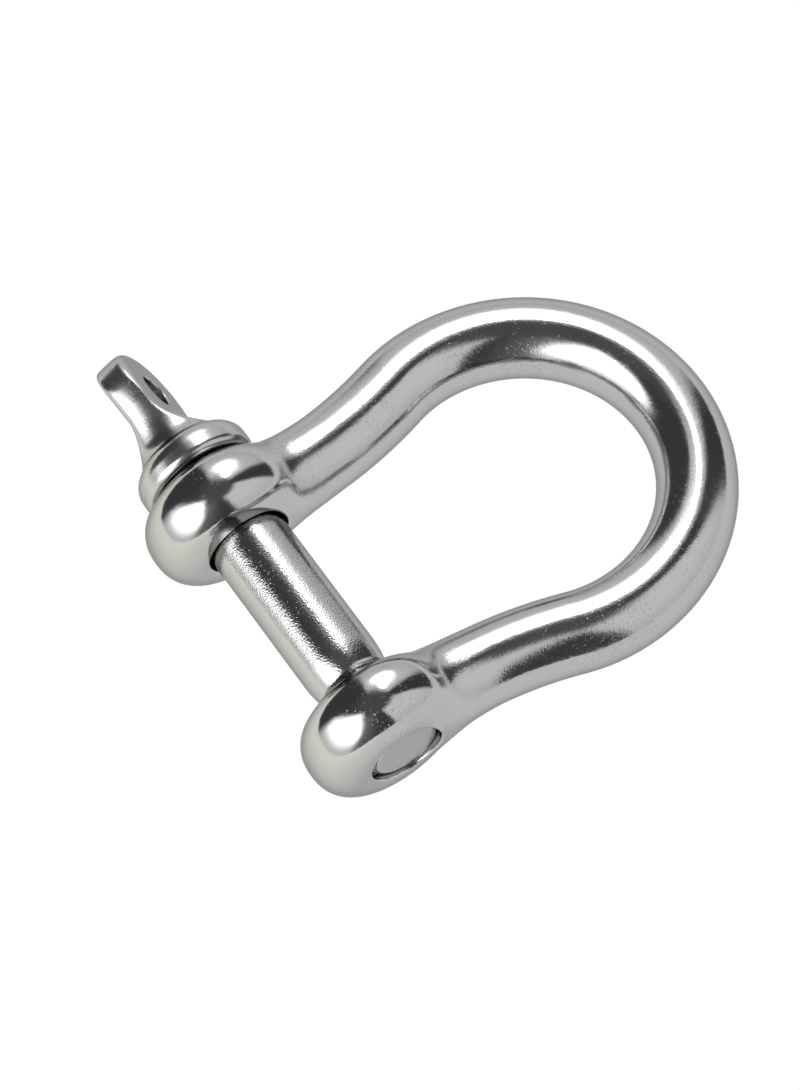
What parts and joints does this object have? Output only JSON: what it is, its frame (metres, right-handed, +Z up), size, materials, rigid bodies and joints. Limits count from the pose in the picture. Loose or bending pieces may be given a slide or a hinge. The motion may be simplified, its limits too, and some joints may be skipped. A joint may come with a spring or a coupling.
{
  "type": "bow shackle",
  "caption": "Polished stainless bow shackle with a screw pin. The pin has a flat thumb tab with a lanyard hole.",
  "frame": {"origin": "on the ground under the middle of the bounding box; the shackle lies on both eyes and on the crown of the bow", "axes": "+X along the pin, from its thumb tab to the threaded eye; +Y from the pin to the crown; +Z up"},
  "size_m": [0.0672, 0.068, 0.0201],
  "materials": {
    "bow_steel": "mirror-polished stainless steel with fine pits and hairlines",
    "pin_steel": "polished stainless steel, the shank slightly peened"
  },
  "bodies": {
    "bow": {"bow": "bow_steel"},
    "pin": {"pin": "pin_steel"}
  },
  "joints": [
    {"name": "pin_withdraw", "type": "slide", "parent": "bow", "child": "pin", "axis": [-1, 0, 0], "range_m": [0, 0.045]}
  ]
}
